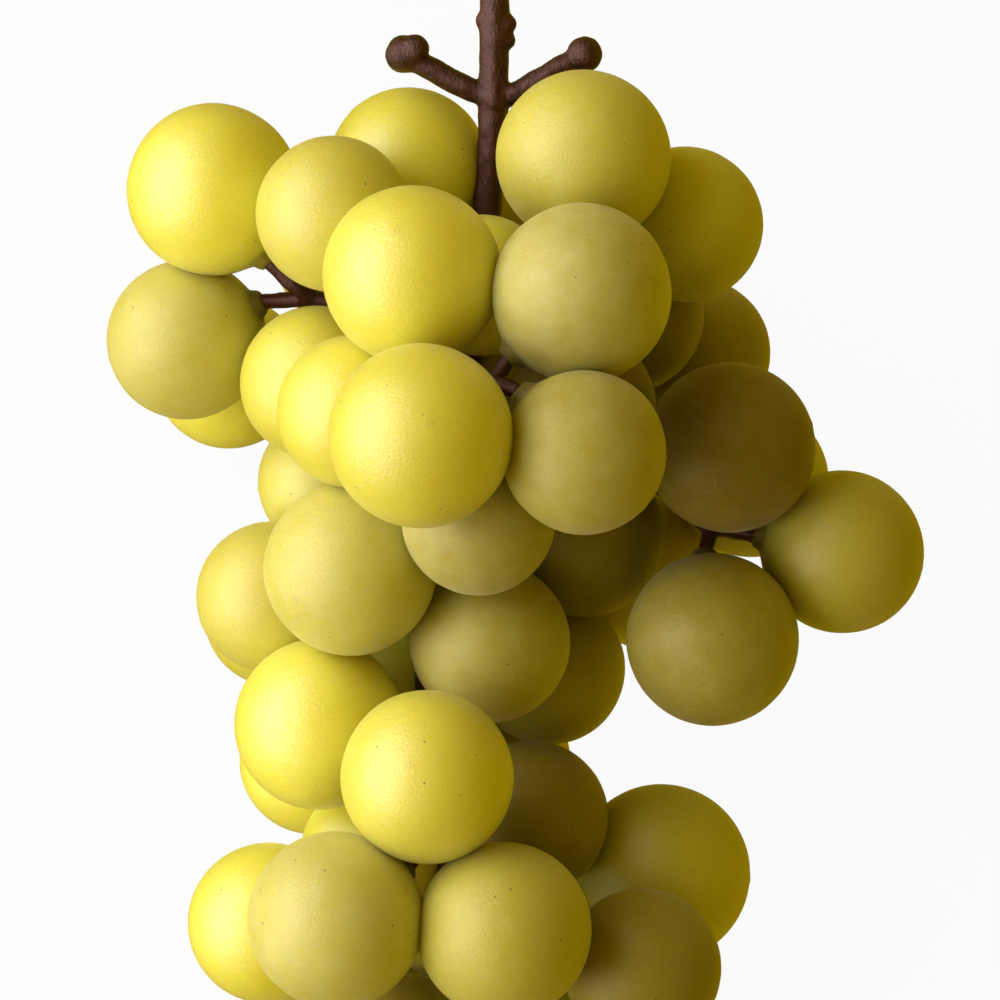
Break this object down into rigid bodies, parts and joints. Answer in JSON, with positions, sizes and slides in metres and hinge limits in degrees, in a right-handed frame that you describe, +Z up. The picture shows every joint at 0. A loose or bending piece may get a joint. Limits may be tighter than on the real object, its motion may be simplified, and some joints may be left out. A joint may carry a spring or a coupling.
{
  "type": "bunch of grapes",
  "caption": "Loose bunch of round green grapes on a branched brown stalk with two bare knobbed arms, lying on its back.",
  "frame": {"origin": "on the surface that the bunch lies on, under the middle of its bounding box", "axes": "+Y along the bunch towards the stalk's cut end, +Z up from the surface, towards the side that the picture shows"},
  "size_m": [0.1156, 0.207, 0.095],
  "materials": {
    "grape_skin": "waxy satin skin, yellow-green and a little translucent, olive in the shade, with fine pale flecks and a dull bloom on some berries",
    "stalk_bark": "smooth dark reddish brown bark, satin, with fine lengthwise lines"
  },
  "bodies": {
    "root": {"berry_01": "grape_skin", "berry_02": "grape_skin", "berry_03": "grape_skin", "berry_04": "grape_skin", "berry_05": "grape_skin", "berry_06": "grape_skin", "berry_07": "grape_skin", "berry_08": "grape_skin", "berry_09": "grape_skin", "berry_10": "grape_skin", "berry_11": "grape_skin", "berry_12": "grape_skin", "berry_13": "grape_skin", "berry_14": "grape_skin", "berry_15": "grape_skin", "berry_16": "grape_skin", "berry_17": "grape_skin", "berry_18": "grape_skin", "berry_19": "grape_skin", "berry_20": "grape_skin", "berry_21": "grape_skin", "berry_22": "grape_skin", "berry_23": "grape_skin", "berry_24": "grape_skin", "berry_25": "grape_skin", "berry_26": "grape_skin", "berry_27": "grape_skin", "berry_28": "grape_skin", "berry_29": "grape_skin", "berry_30": "grape_skin", "berry_31": "grape_skin", "berry_32": "grape_skin", "berry_33": "grape_skin", "berry_34": "grape_skin", "berry_35": "grape_skin", "berry_36": "grape_skin", "berry_37": "grape_skin", "berry_38": "grape_skin", "berry_39": "grape_skin", "berry_40": "grape_skin", "berry_41": "grape_skin", "berry_42": "grape_skin", "berry_43": "grape_skin", "berry_44": "grape_skin", "berry_45": "grape_skin", "berry_46": "grape_skin", "berry_47": "grape_skin", "berry_48": "grape_skin", "berry_49": "grape_skin", "berry_50": "grape_skin", "berry_51": "grape_skin", "berry_52": "grape_skin", "berry_53": "grape_skin", "berry_54": "grape_skin", "berry_55": "grape_skin", "berry_56": "grape_skin", "berry_57": "grape_skin", "berry_58": "grape_skin", "berry_59": "grape_skin", "stalk": "stalk_bark"}
  },
  "joints": []
}
